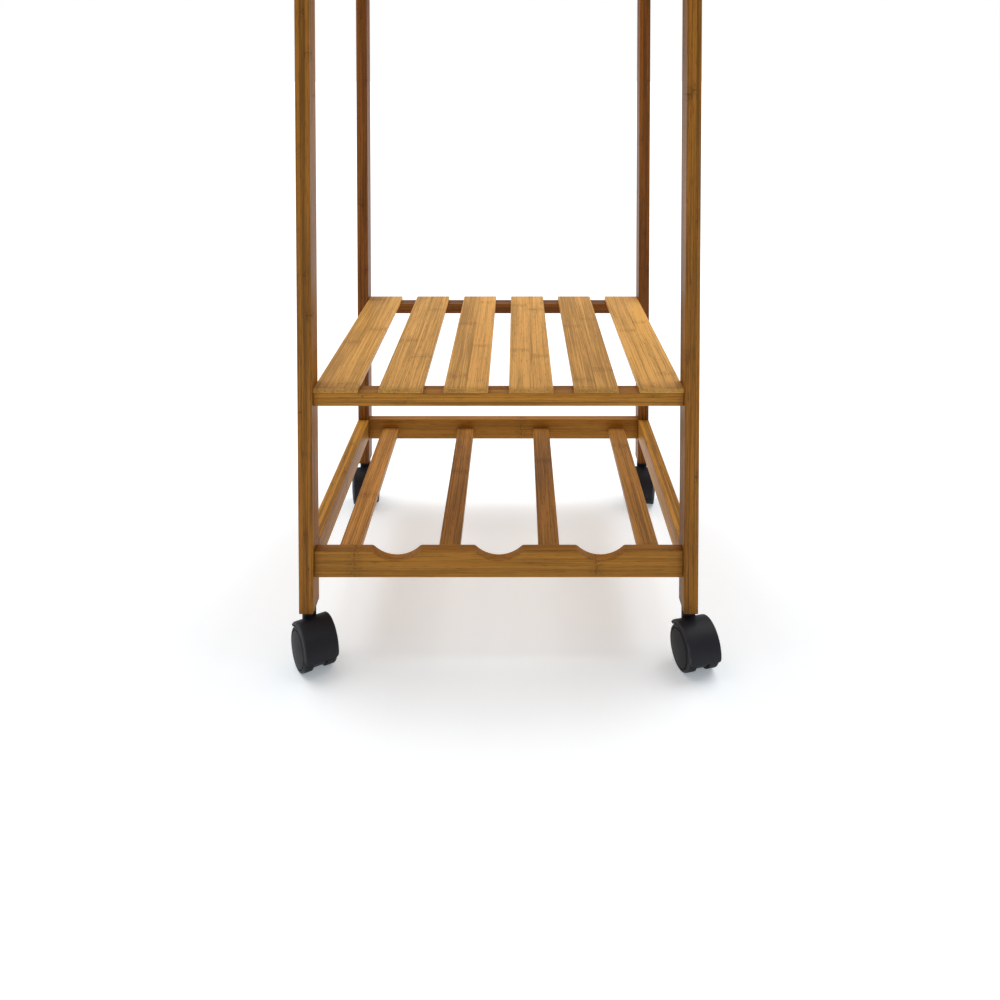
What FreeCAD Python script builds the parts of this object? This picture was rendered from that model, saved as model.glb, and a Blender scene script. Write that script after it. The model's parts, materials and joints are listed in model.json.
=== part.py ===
import FreeCAD, Part
import math
import os

from FreeCAD import Vector

os.makedirs("parts", exist_ok=True)

# A bamboo utility cart on four swivelling twin-wheel casters, in millimetres.
# X runs to the right, the front faces -Y and Z is up.
# The origin is on the floor, below the middle of the frame.

# ---------------------------------------------------------------- driving sizes
FRAME_WIDTH = 400.0  # over the outer faces of the posts
FRAME_DEPTH = 370.0
CART_HEIGHT = 760.0  # floor to worktop

POST_X = 14.5
POST_Y = 28.0
POST_ROUND = 1.0
RAIL_RECESS = 5.5  # rails stand back from the posts' front and rear faces
EDGE_ROUND = 0.8

BOTTLE_ROOM = 165.5  # middle shelf's top above the rack rails' tops
MIDDLE_RAIL_HEIGHT = 13.0
MIDDLE_SLAT_COUNT = 6
MIDDLE_SLAT_WIDTH = 44.5
MIDDLE_SLAT_THICKNESS = 5.0
SLAT_ROUND = 0.6

RACK_ABOVE_SOCKETS = 1.0  # rack rails' undersides above the caster sockets
RACK_RAIL_HEIGHT = 27.0
RACK_RAIL_THICKNESS = 13.3
RACK_SLAT_WIDTH = 22.0
RACK_SLAT_THICKNESS = 8.0
RACK_SLAT_SIDE_GAP = 19.25  # outermost slats to the side rails
RACK_SLAT_DROP = 11.5  # slat tops below the rack rails' tops

SCALLOP_COUNT = 3  # one between each two slats
SCALLOP_RADIUS = 34.0
SCALLOP_DEPTH = 10.0
SCALLOP_SHOULDER = 4.0

APRON_HEIGHT = 37.0
APRON_THICKNESS = 15.0
BOARD_THICKNESS = 18.0
BOARD_OVERHANG = 35.0
BOARD_CORNER = 14.0
BOARD_EDGE_ROUND = 2.5

DOWEL_RADIUS = 3.0
DOWEL_IN_POST = 9.0
DOWEL_IN_RAIL = 20.0
DOWEL_END_GAP = 0.5  # glue space past each end
DOWEL_LAYER_GAP = 1.0  # in height, between dowels that cross in a post
MIDDLE_DOWEL_INSET = 6.5  # from the middle rail's inner face
SLAT_DOWEL_RADIUS = 2.0
SLAT_DOWEL_IN_RAIL = 7.0
SLAT_DOWEL_IN_SLAT = 14.0

SLAT_SCREW_RADIUS = 1.5
SLAT_SCREW_HEAD_RADIUS = 3.0
SLAT_SCREW_BITE = 3.5  # how far the screw enters the slat
SLAT_SCREW_INSET = 7.5  # from the middle rail's outer face
TOP_SCREW_RADIUS = 2.0
TOP_SCREW_HEAD_RADIUS = 4.0
TOP_SCREW_HEAD_HEIGHT = 2.6
TOP_SCREW_BITE = 12.0
TOP_SCREW_WOOD = 20.0  # apron wood left between the screw head and the board
TOP_SCREW_INSET = 60.0  # from the end of an apron to its screws
SCREW_CLEARANCE = 0.25
COUNTERBORE_CLEARANCE = 0.5
TIP_CLEARANCE = 0.3

WHEEL_RADIUS = 21.5
WHEEL_SHOULDER = 2.8
WHEEL_INNER_ROUND = 0.8
WHEEL_DOME = 1.5
WHEEL_ROOM = 1.0  # radial, between the tread and the hood
HOOD_WIDTH = 34.5
HOOD_WALL = 2.8
HOOD_RIM_ROUND = 1.2
HOOD_SKIRT_HEIGHT = 17.5  # trailing lower edge above the floor
HOOD_LEAD_HEIGHT = 36.0  # leading lower edge above the floor
HOOD_CORNER = 4.0
CORE_WIDTH = 13.0  # body between the two wheels
CORE_RECESS = 2.0  # radial, from the treads in to the core between them
STEM_COLUMN_BOTTOM = 17.0
NECK_RADIUS = 7.0
FOOT_ABOVE_HOOD = 6.2  # posts' feet above the tops of the hoods
TRAIL = 14.2  # stem axis to axle axis
WHEEL_SIDE_GAP = 0.5
AXLE_RADIUS = 3.0
AXLE_INSET = 2.75  # axle ends inside the wheels' flat faces
STEM_RADIUS = 4.0
STEM_IN_POST = 32.0
STEM_FLOOR_GAP = 21.5  # lower end of the stem above the floor
STEM_CHAMFER = 0.8
SOCKET_WALL = 1.4
SOCKET_TOP_WALL = 1.5
SOCKET_FLANGE = 1.2
RUNNING_CLEARANCE = 0.05  # radial, in every bore that turns
THRUST_GAP = 0.3

# Trailing direction of each caster at rest, turned about its stem from straight forward.
CASTERS = {
    "front_left": (-1, -1, 32.0),
    "front_right": (1, -1, 15.5),
    "back_left": (-1, 1, 12.0),
    "back_right": (1, 1, -10.0),
}

# ---------------------------------------------------------------- sizes that follow
HALF_WIDTH = FRAME_WIDTH / 2
HALF_DEPTH = FRAME_DEPTH / 2
POST_CENTRE_X = HALF_WIDTH - POST_X / 2
POST_CENTRE_Y = HALF_DEPTH - POST_Y / 2
INNER_X = HALF_WIDTH - POST_X  # inner side faces of the posts
INNER_Y = HALF_DEPTH - POST_Y
RAIL_FACE_Y = HALF_DEPTH - RAIL_RECESS
HOOD_POCKET_RADIUS = WHEEL_RADIUS + WHEEL_ROOM
HOOD_RADIUS = HOOD_POCKET_RADIUS + HOOD_WALL
POST_BOTTOM = WHEEL_RADIUS + HOOD_RADIUS + FOOT_ABOVE_HOOD
SOCKET_TOP = POST_BOTTOM + STEM_IN_POST + SOCKET_TOP_WALL
RACK_BOTTOM = SOCKET_TOP + RACK_ABOVE_SOCKETS
RACK_TOP = RACK_BOTTOM + RACK_RAIL_HEIGHT
MIDDLE_SHELF_TOP = RACK_TOP + BOTTLE_ROOM
DOWEL_SPACING = 4 * DOWEL_RADIUS + 2 * DOWEL_LAYER_GAP  # between the two dowels at one rail end
BOARD_BOTTOM = CART_HEIGHT - BOARD_THICKNESS
APRON_BOTTOM = BOARD_BOTTOM - APRON_HEIGHT
MIDDLE_RAIL_TOP = MIDDLE_SHELF_TOP - MIDDLE_SLAT_THICKNESS
MIDDLE_RAIL_BOTTOM = MIDDLE_RAIL_TOP - MIDDLE_RAIL_HEIGHT
MIDDLE_SLAT_GAP = (2 * INNER_X - MIDDLE_SLAT_COUNT * MIDDLE_SLAT_WIDTH) / (MIDDLE_SLAT_COUNT - 1)
RACK_SLAT_TOP = RACK_TOP - RACK_SLAT_DROP
RACK_SLAT_COUNT = SCALLOP_COUNT + 1
RACK_SLAT_PITCH = (2 * (INNER_X - RACK_SLAT_SIDE_GAP) - RACK_SLAT_WIDTH) / SCALLOP_COUNT
RACK_FRONT_INNER_Y = -RAIL_FACE_Y + RACK_RAIL_THICKNESS
RACK_BACK_INNER_Y = INNER_Y + EDGE_ROUND
SOCKET_RADIUS = STEM_RADIUS + SOCKET_WALL
NECK_TOP = POST_BOTTOM - SOCKET_FLANGE - THRUST_GAP
WHEEL_INNER_X = CORE_WIDTH / 2 + WHEEL_SIDE_GAP
WHEEL_FACE_X = HOOD_WIDTH / 2
AXLE_LENGTH = HOOD_WIDTH - 2 * AXLE_INSET

UP = Vector(0, 0, 1)


# ---------------------------------------------------------------- helpers
def block(x0, x1, y0, y1, z0, z1):
    """A box between two corners."""
    return Part.makeBox(x1 - x0, y1 - y0, z1 - z0, Vector(x0, y0, z0))


def rod(start, end, radius):
    """A round bar from one point to another."""
    along = end - start
    return Part.makeCylinder(radius, along.Length, start, along)


def rounded_along(shape, axis, radius):
    """Rounds the straight edges that run along an axis."""
    edges = []
    for edge in shape.Edges:
        if isinstance(edge.Curve, Part.Line):
            direction = edge.Curve.Direction
            if abs(abs(direction.dot(axis)) - 1) < 1e-6:
                edges.append(edge)
    return shape.makeFillet(radius, edges)


def revolved(outline):
    """Turns an outline of (x, radius) edges round the X axis."""
    return Part.Face(Part.Wire(outline)).revolve(Vector(0, 0, 0), Vector(1, 0, 0), 360)


def point(x, radius):
    return Vector(x, 0, radius)


def line(a, b):
    return Part.LineSegment(a, b).toShape()


def arc(a, middle, b):
    return Part.Arc(a, middle, b).toShape()


def quarter(centre, radius, start_angle):
    """The quarter arc round a centre in the XZ plane that starts at an angle and turns left."""
    points = []
    for angle in (start_angle, start_angle + 45, start_angle + 90):
        turn = math.radians(angle)
        points.append(centre + Vector(radius * math.cos(turn), 0, radius * math.sin(turn)))
    return points


pieces = {}
holes = {}


def add(name, shape):
    pieces[name] = shape


def drill(name, cutter):
    holes.setdefault(name, []).append(cutter)


# ---------------------------------------------------------------- posts
post_names = {}
for where, (side_x, side_y, _) in CASTERS.items():
    x, y = side_x * POST_CENTRE_X, side_y * POST_CENTRE_Y
    post = block(x - POST_X / 2, x + POST_X / 2, y - POST_Y / 2, y + POST_Y / 2, POST_BOTTOM, BOARD_BOTTOM)
    post_names[side_x, side_y] = "post_" + where
    add("post_" + where, rounded_along(post, UP, POST_ROUND))

# ---------------------------------------------------------------- middle shelf
AXIS_X, AXIS_Y = Vector(1, 0, 0), Vector(0, 1, 0)
for name, side in (("front", -1), ("back", 1)):
    y0, y1 = sorted((side * INNER_Y, side * RAIL_FACE_Y))
    rail = block(-INNER_X, INNER_X, y0, y1, MIDDLE_RAIL_BOTTOM, MIDDLE_RAIL_TOP)
    add("middle_rail_" + name, rounded_along(rail, AXIS_X, EDGE_ROUND))

slat_centres = []
for index in range(MIDDLE_SLAT_COUNT):
    left = -INNER_X + index * (MIDDLE_SLAT_WIDTH + MIDDLE_SLAT_GAP)
    right = left + MIDDLE_SLAT_WIDTH
    slat = block(left, right, -RAIL_FACE_Y, RAIL_FACE_Y, MIDDLE_RAIL_TOP, MIDDLE_SHELF_TOP)
    slat_centres.append(left + MIDDLE_SLAT_WIDTH / 2)
    add(f"middle_slat_{index + 1}", rounded_along(slat, AXIS_Y, SLAT_ROUND))

# Countersunk screws go up through the rails into the slats.
slat_screws = []
head_height = SLAT_SCREW_HEAD_RADIUS - SLAT_SCREW_RADIUS
for index, x in enumerate(slat_centres):
    for name, side in (("front", -1), ("back", 1)):
        foot = Vector(x, side * (RAIL_FACE_Y - SLAT_SCREW_INSET), MIDDLE_RAIL_BOTTOM)
        tip = Vector(foot.x, foot.y, MIDDLE_RAIL_TOP + SLAT_SCREW_BITE)
        head = Part.makeCone(SLAT_SCREW_HEAD_RADIUS, SLAT_SCREW_RADIUS, head_height, foot)
        slat_screws.append(head.fuse(rod(foot, tip, SLAT_SCREW_RADIUS)).removeSplitter())
        sink = Part.makeCone(
            SLAT_SCREW_HEAD_RADIUS + SCREW_CLEARANCE, SLAT_SCREW_RADIUS + SCREW_CLEARANCE, head_height, foot
        )
        rail_top = Vector(foot.x, foot.y, MIDDLE_RAIL_TOP)
        drill("middle_rail_" + name, sink.fuse(rod(foot, rail_top, SLAT_SCREW_RADIUS + SCREW_CLEARANCE)))
        drill(f"middle_slat_{index + 1}", rod(rail_top, tip + UP * TIP_CLEARANCE, SLAT_SCREW_RADIUS))
add("slat_screws", Part.makeCompound(slat_screws))


# ---------------------------------------------------------------- bottle rack
def scalloped_rail(y0, y1):
    """The front rack rail, with a round scallop for each bottle neck in its top edge."""
    reach = SCALLOP_RADIUS + SCALLOP_SHOULDER
    half_width = math.sqrt(reach**2 - (reach - SCALLOP_DEPTH) ** 2)
    bend_height = RACK_TOP - SCALLOP_SHOULDER
    lean = math.atan2(half_width, reach - SCALLOP_DEPTH)

    def on_shoulder(x, sign, angle):
        centre = Vector(x + sign * half_width, y0, bend_height)
        return centre + Vector(-sign * math.sin(angle), 0, math.cos(angle)) * SCALLOP_SHOULDER

    def shoulder(x, sign):
        """Points of the convex arc from the flat top down to the scallop."""
        return [on_shoulder(x, sign, lean * share) for share in (0.0, 0.5, 1.0)]

    edges = []
    at = Vector(-INNER_X, y0, RACK_TOP)
    for index in range(SCALLOP_COUNT):
        x = (index - (SCALLOP_COUNT - 1) / 2) * RACK_SLAT_PITCH
        first, last = shoulder(x, -1), shoulder(x, 1)[::-1]
        lowest = Vector(x, y0, RACK_TOP - SCALLOP_DEPTH)
        edges += [line(at, first[0]), arc(*first), arc(first[2], lowest, last[0]), arc(*last)]
        at = last[2]
    corners = [at, Vector(INNER_X, y0, RACK_TOP), Vector(INNER_X, y0, RACK_BOTTOM)]
    corners += [Vector(-INNER_X, y0, RACK_BOTTOM), Vector(-INNER_X, y0, RACK_TOP)]
    edges += [line(a, b) for a, b in zip(corners, corners[1:])]
    return Part.Face(Part.Wire(edges)).extrude(Vector(0, y1 - y0, 0))


front_y = (-RAIL_FACE_Y, RACK_FRONT_INNER_Y)
back_y = (RACK_BACK_INNER_Y, RACK_BACK_INNER_Y + RACK_RAIL_THICKNESS)
add("rack_rail_front", scalloped_rail(*front_y))
back_rail = block(-INNER_X, INNER_X, *back_y, RACK_BOTTOM, RACK_TOP)
add("rack_rail_back", rounded_along(back_rail, AXIS_X, EDGE_ROUND))
for name, side in (("left", -1), ("right", 1)):
    x0, x1 = sorted((side * INNER_X, side * HALF_WIDTH))
    rail = block(x0, x1, -INNER_Y, INNER_Y, RACK_BOTTOM, RACK_TOP)
    add("rack_rail_" + name, rounded_along(rail, AXIS_Y, EDGE_ROUND))

rack_slat_dowels = []
slat_middle = RACK_SLAT_TOP - RACK_SLAT_THICKNESS / 2
for index in range(RACK_SLAT_COUNT):
    x = (index - (RACK_SLAT_COUNT - 1) / 2) * RACK_SLAT_PITCH
    name = f"rack_slat_{index + 1}"
    x0, x1 = x - RACK_SLAT_WIDTH / 2, x + RACK_SLAT_WIDTH / 2
    slat = block(x0, x1, front_y[1], back_y[0], RACK_SLAT_TOP - RACK_SLAT_THICKNESS, RACK_SLAT_TOP)
    add(name, rounded_along(slat, AXIS_Y, EDGE_ROUND))
    for rail_name, face, out in (("front", front_y[1], -1), ("back", back_y[0], 1)):
        start = Vector(x, face + out * SLAT_DOWEL_IN_RAIL, slat_middle)
        end = Vector(x, face - out * SLAT_DOWEL_IN_SLAT, slat_middle)
        gap = Vector(0, out * DOWEL_END_GAP, 0)
        rack_slat_dowels.append(rod(start - gap, end + gap, SLAT_DOWEL_RADIUS))
        drill("rack_rail_" + rail_name, rod(start, end, SLAT_DOWEL_RADIUS))
        drill(name, rod(start, end, SLAT_DOWEL_RADIUS))
add("rack_slat_dowels", Part.makeCompound(rack_slat_dowels))

# ---------------------------------------------------------------- aprons and worktop
apron_centre_y = RAIL_FACE_Y - APRON_THICKNESS / 2
for name, side in (("front", -1), ("back", 1)):
    y0, y1 = sorted((side * RAIL_FACE_Y, side * (RAIL_FACE_Y - APRON_THICKNESS)))
    apron = block(-INNER_X, INNER_X, y0, y1, APRON_BOTTOM, BOARD_BOTTOM)
    add("apron_" + name, rounded_along(apron, AXIS_X, EDGE_ROUND))
for name, side in (("left", -1), ("right", 1)):
    x0, x1 = sorted((side * INNER_X, side * HALF_WIDTH))
    apron = block(x0, x1, -INNER_Y, INNER_Y, APRON_BOTTOM, BOARD_BOTTOM)
    add("apron_" + name, rounded_along(apron, AXIS_Y, EDGE_ROUND))

half_x, half_y = HALF_WIDTH + BOARD_OVERHANG, HALF_DEPTH + BOARD_OVERHANG
board = block(-half_x, half_x, -half_y, half_y, BOARD_BOTTOM, CART_HEIGHT)
board = rounded_along(board, UP, BOARD_CORNER)
level_edges = [edge for edge in board.Edges if edge.BoundBox.ZLength < BOARD_EDGE_ROUND]
add("top_board", board.makeFillet(BOARD_EDGE_ROUND, level_edges))

top_screws = []
screw_spots = []
for side in (-1, 1):
    for end in (-1, 1):
        along_x, along_y = INNER_X - TOP_SCREW_INSET, INNER_Y - TOP_SCREW_INSET
        screw_spots.append((end * along_x, side * apron_centre_y, "front" if side < 0 else "back"))
        screw_spots.append((side * POST_CENTRE_X, end * along_y, "left" if side < 0 else "right"))
for x, y, name in screw_spots:
    seat = Vector(x, y, BOARD_BOTTOM - TOP_SCREW_WOOD)
    tip = Vector(x, y, BOARD_BOTTOM + TOP_SCREW_BITE)
    head = rod(seat - UP * TOP_SCREW_HEAD_HEIGHT, seat, TOP_SCREW_HEAD_RADIUS)
    top_screws.append(head.fuse(rod(seat, tip, TOP_SCREW_RADIUS)).removeSplitter())
    below = Vector(x, y, APRON_BOTTOM)
    drill("apron_" + name, rod(below, seat, TOP_SCREW_HEAD_RADIUS + COUNTERBORE_CLEARANCE))
    drill("apron_" + name, rod(seat, tip, TOP_SCREW_RADIUS + SCREW_CLEARANCE))
    drill("top_board", rod(Vector(x, y, BOARD_BOTTOM), tip + UP * TIP_CLEARANCE, TOP_SCREW_RADIUS))
add("top_screws", Part.makeCompound(top_screws))

# ---------------------------------------------------------------- dowels between rails and posts
frame_dowels = []


def dowel(rail_name, post_name, face, inward):
    """One glued dowel across the joint between a post's inner face and a rail's end."""
    in_post = face - inward * DOWEL_IN_POST
    in_rail = face + inward * DOWEL_IN_RAIL
    gap = inward * DOWEL_END_GAP
    frame_dowels.append(rod(in_post + gap, in_rail - gap, DOWEL_RADIUS))
    drill(post_name, rod(in_post, in_rail, DOWEL_RADIUS))
    drill(rail_name, rod(in_post, in_rail, DOWEL_RADIUS))


rack_middle = RACK_BOTTOM + RACK_RAIL_HEIGHT / 2
apron_middle = APRON_BOTTOM + APRON_HEIGHT / 2
middle_rail_y = INNER_Y + MIDDLE_DOWEL_INSET
middle_rail_z = MIDDLE_RAIL_BOTTOM + MIDDLE_RAIL_HEIGHT / 2
for side_y, end in ((-1, "front"), (1, "back")):
    rack_y = sum(front_y if side_y < 0 else back_y) / 2
    joints = [("middle_rail_", side_y * middle_rail_y, middle_rail_z)]
    for offset in (-DOWEL_SPACING / 2, DOWEL_SPACING / 2):
        joints.append(("rack_rail_", rack_y, rack_middle + offset))
        joints.append(("apron_", side_y * apron_centre_y, apron_middle + offset))
    for side_x in (-1, 1):
        for rail, y, z in joints:
            inward = Vector(-side_x, 0, 0)
            dowel(rail + end, post_names[side_x, side_y], Vector(side_x * INNER_X, y, z), inward)
for side_x, end in ((-1, "left"), (1, "right")):
    for side_y in (-1, 1):
        inward = Vector(0, -side_y, 0)
        for rail, z in (("rack_rail_", rack_middle), ("apron_", apron_middle)):
            joint = Vector(side_x * POST_CENTRE_X, side_y * INNER_Y, z)
            dowel(rail + end, post_names[side_x, side_y], joint, inward)
add("frame_dowels", Part.makeCompound(frame_dowels))

# ---------------------------------------------------------------- casters
# Each is drawn round its stem axis at the origin, trailing towards -Y, then turned and set below its post.
AXLE_CENTRE = Vector(0, -TRAIL, WHEEL_RADIUS)


def hood_blank():
    """The hood's full drum, rounded at both rims, about the X axis."""
    half, radius, bend = HOOD_WIDTH / 2, HOOD_RADIUS, HOOD_RIM_ROUND
    right = quarter(point(half - bend, radius - bend), bend, 0)
    left = quarter(point(bend - half, radius - bend), bend, 90)
    return revolved([
        line(point(-half, 0), point(half, 0)), line(point(half, 0), right[0]), arc(*right),
        line(right[2], left[0]), arc(*left), line(left[2], point(-half, 0)),
    ])


def hood_shape():
    """Two fenders and the body between the wheels, with the neck that turns on the stem."""
    drum = hood_blank()
    for sign in (-1, 1):
        start = point(sign * CORE_WIDTH / 2, 0)
        drum = drum.cut(rod(start, point(sign * HOOD_WIDTH, 0), HOOD_POCKET_RADIUS))

    # The lower edges lie in one plane that rises from the trailing to the leading side.
    skirt = HOOD_SKIRT_HEIGHT - WHEEL_RADIUS
    lead = HOOD_LEAD_HEIGHT - WHEEL_RADIUS
    trailing = Vector(0, -math.sqrt(HOOD_RADIUS**2 - skirt**2), skirt)
    leading = Vector(0, math.sqrt(HOOD_RADIUS**2 - lead**2), lead)
    slope = (leading - trailing).normalize()
    down = Vector(1, 0, 0).cross(slope) * -1
    far = slope * (2 * HOOD_RADIUS)
    corners = [trailing - far, leading + far]
    corners += [corner + down * (2 * HOOD_RADIUS) for corner in reversed(corners)]
    below = Part.Face(Part.makePolygon(corners + corners[:1])).extrude(Vector(2 * HOOD_WIDTH, 0, 0))
    below.translate(Vector(-HOOD_WIDTH, 0, 0))
    drum = drum.cut(below)

    # Rounded lower corners of the trailing skirt.
    for sign in (-1, 1):
        corner = trailing + Vector(sign * HOOD_WIDTH / 2, 0, 0)
        out, up = Vector(sign, 0, 0), down * -1
        centre = corner - out * HOOD_CORNER + up * HOOD_CORNER
        bend = centre + (out - up).normalize() * HOOD_CORNER
        edges = [
            arc(corner - out * HOOD_CORNER, bend, corner + up * HOOD_CORNER),
            line(corner + up * HOOD_CORNER, corner + (up + out) * HOOD_CORNER),
            line(corner + (up + out) * HOOD_CORNER, corner + (out - up) * HOOD_CORNER),
            line(corner + (out - up) * HOOD_CORNER, corner - (out + up) * HOOD_CORNER),
            line(corner - (out + up) * HOOD_CORNER, corner - out * HOOD_CORNER),
        ]
        cutter = Part.Face(Part.Wire(edges)).extrude(slope * (4 * HOOD_WALL))
        cutter.translate(slope * (-HOOD_WALL))
        drum = drum.cut(cutter)

    drum.translate(AXLE_CENTRE)

    # The core carries the axle and the stem, and the neck stands on it.
    core_half = Vector(CORE_WIDTH / 2, 0, 0)
    crown = AXLE_CENTRE.z + math.sqrt(HOOD_POCKET_RADIUS**2 - TRAIL**2)
    half = CORE_WIDTH / 2
    core = [
        rod(AXLE_CENTRE - core_half, AXLE_CENTRE + core_half, WHEEL_RADIUS - CORE_RECESS),
        rod(UP * STEM_COLUMN_BOTTOM, UP * crown, half),
    ]
    neck = rod(UP * crown, UP * NECK_TOP, NECK_RADIUS)
    for sign in (-1, 1):
        near = AXLE_CENTRE + core_half * sign
        neck = neck.cut(rod(near, near + core_half * (2 * sign), HOOD_POCKET_RADIUS))
    hood = drum.fuse(core + [neck])
    stem_room = rod(UP * (STEM_FLOOR_GAP - THRUST_GAP), UP * POST_BOTTOM, STEM_RADIUS + RUNNING_CLEARANCE)
    axle_room = rod(AXLE_CENTRE - core_half * 2, AXLE_CENTRE + core_half * 2, AXLE_RADIUS)
    return hood.cut([stem_room, axle_room]).removeSplitter()


def wheel_shape(sign):
    """One wheel of the pair: a tread with a rounded shoulder, a domed outer face and a blind bore."""
    bore = AXLE_RADIUS + RUNNING_CLEARANCE
    bore_end = AXLE_LENGTH / 2 + WHEEL_SIDE_GAP
    rim = WHEEL_RADIUS - WHEEL_SHOULDER
    dome_radius = (rim**2 + WHEEL_DOME**2) / (2 * WHEEL_DOME)
    crown = WHEEL_FACE_X + WHEEL_DOME
    half_way = point(crown - dome_radius + math.sqrt(dome_radius**2 - (rim / 2) ** 2), rim / 2)
    outer = quarter(point(WHEEL_FACE_X - WHEEL_SHOULDER, rim), WHEEL_SHOULDER, 0)
    bend = WHEEL_INNER_ROUND
    inner = quarter(point(WHEEL_INNER_X + bend, WHEEL_RADIUS - bend), bend, 90)
    wheel = revolved([
        line(point(bore_end, 0), point(crown, 0)), arc(point(crown, 0), half_way, outer[0]), arc(*outer),
        line(outer[2], inner[0]), arc(*inner), line(inner[2], point(WHEEL_INNER_X, bore)),
        line(point(WHEEL_INNER_X, bore), point(bore_end, bore)),
        line(point(bore_end, bore), point(bore_end, 0)),
    ])
    if sign < 0:
        wheel.rotate(Vector(0, 0, 0), UP, 180)
    wheel.translate(AXLE_CENTRE)
    return wheel


def stem_shape():
    """The steel pin that the hood turns on, chamfered at both ends."""
    pin = rod(UP * STEM_FLOOR_GAP, UP * (POST_BOTTOM + STEM_IN_POST), STEM_RADIUS)
    ends = [edge for edge in pin.Edges if isinstance(edge.Curve, Part.Circle)]
    return pin.makeChamfer(STEM_CHAMFER, ends)


def socket_shape():
    """The plastic sleeve in the foot of the post, with a thrust flange under it."""
    sleeve = rod(UP * POST_BOTTOM, UP * SOCKET_TOP, SOCKET_RADIUS)
    flange = rod(UP * (POST_BOTTOM - SOCKET_FLANGE), UP * POST_BOTTOM, NECK_RADIUS)
    bore = rod(UP * (POST_BOTTOM - SOCKET_FLANGE), UP * (POST_BOTTOM + STEM_IN_POST), STEM_RADIUS)
    return sleeve.fuse(flange).cut(bore).removeSplitter()


for where, (side_x, side_y, turn) in CASTERS.items():
    stem_foot = Vector(side_x * POST_CENTRE_X, side_y * POST_CENTRE_Y, 0)
    half_axle = Vector(AXLE_LENGTH / 2, 0, 0)
    caster = {
        "hood": hood_shape(),
        "axle": rod(AXLE_CENTRE - half_axle, AXLE_CENTRE + half_axle, AXLE_RADIUS),
        "wheel_left": wheel_shape(-1),
        "wheel_right": wheel_shape(1),
        "stem": stem_shape(),
        "socket": socket_shape(),
    }
    for name, shape in caster.items():
        shape.rotate(Vector(0, 0, 0), UP, turn)
        shape.translate(stem_foot)
        add(f"caster_{where}_{name}", shape)
    drill("post_" + where, rod(stem_foot + UP * POST_BOTTOM, stem_foot + UP * SOCKET_TOP, SOCKET_RADIUS))

# ---------------------------------------------------------------- one file per piece
for name, shape in pieces.items():
    if name in holes:
        shape = shape.cut(holes[name])
    solids = shape.Solids
    if len(solids) == 1:
        shape = solids[0]
    print(f"{name}: {len(solids)} solid, {shape.Volume / 1000:.1f} cm3, valid {shape.isValid()}")
    shape.exportStep(f"parts/{name}.step")
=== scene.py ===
"""The looks of a bamboo utility cart on twin-wheel casters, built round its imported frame.

Every length is in metres. X runs to the right, the front faces -Y and Z is up.
"""

import json
import logging
import math
from collections.abc import Iterable, Sequence
from dataclasses import dataclass
from enum import Enum

import bmesh
import bpy
from bmesh.types import BMEdge, BMesh, BMVert
from bpy.types import Material, Node, NodeOutputs, NodeTree, Object
from mathutils import Matrix, Vector


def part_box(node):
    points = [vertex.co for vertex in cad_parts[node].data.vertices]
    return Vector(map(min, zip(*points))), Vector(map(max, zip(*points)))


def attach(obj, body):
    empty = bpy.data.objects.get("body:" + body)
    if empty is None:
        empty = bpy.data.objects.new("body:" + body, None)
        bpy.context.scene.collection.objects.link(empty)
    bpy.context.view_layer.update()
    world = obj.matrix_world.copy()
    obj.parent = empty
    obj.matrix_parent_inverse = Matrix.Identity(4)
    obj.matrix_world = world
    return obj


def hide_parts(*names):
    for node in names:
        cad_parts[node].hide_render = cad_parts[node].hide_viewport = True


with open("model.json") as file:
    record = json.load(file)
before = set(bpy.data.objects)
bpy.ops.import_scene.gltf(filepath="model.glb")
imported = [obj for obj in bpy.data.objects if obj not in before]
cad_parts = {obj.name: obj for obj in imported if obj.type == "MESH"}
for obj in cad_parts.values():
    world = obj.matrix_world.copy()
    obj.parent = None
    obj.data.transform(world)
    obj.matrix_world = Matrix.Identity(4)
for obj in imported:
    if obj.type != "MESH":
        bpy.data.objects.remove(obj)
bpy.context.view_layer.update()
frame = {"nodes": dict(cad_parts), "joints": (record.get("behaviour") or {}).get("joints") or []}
log = logging.getLogger("cart")

MM = 0.001
SIDES = {"left": -1, "right": 1}
ENDS = {"front": -1, "back": 1}
CORNERS = [f"{end}_{side}" for end in ENDS for side in SIDES]

Colour = tuple[float, float, float, float]
Socket = bpy.types.NodeSocket
Feed = Socket | float | Sequence[float]


def tint(red: int, green: int, blue: int) -> Colour:
    """Turns a screen colour of 0 to 255 into the linear colour that shaders use.

    Args:
        red: Red, 0 to 255.
        green: Green, 0 to 255.
        blue: Blue, 0 to 255.

    Returns:
        The linear colour, with full alpha.
    """
    def straight(channel: int) -> float:
        """One channel without its display curve."""
        share = channel / 255
        return share / 12.92 if share <= 0.04045 else ((share + 0.055) / 1.055) ** 2.4

    return straight(red), straight(green), straight(blue), 1.0


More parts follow.
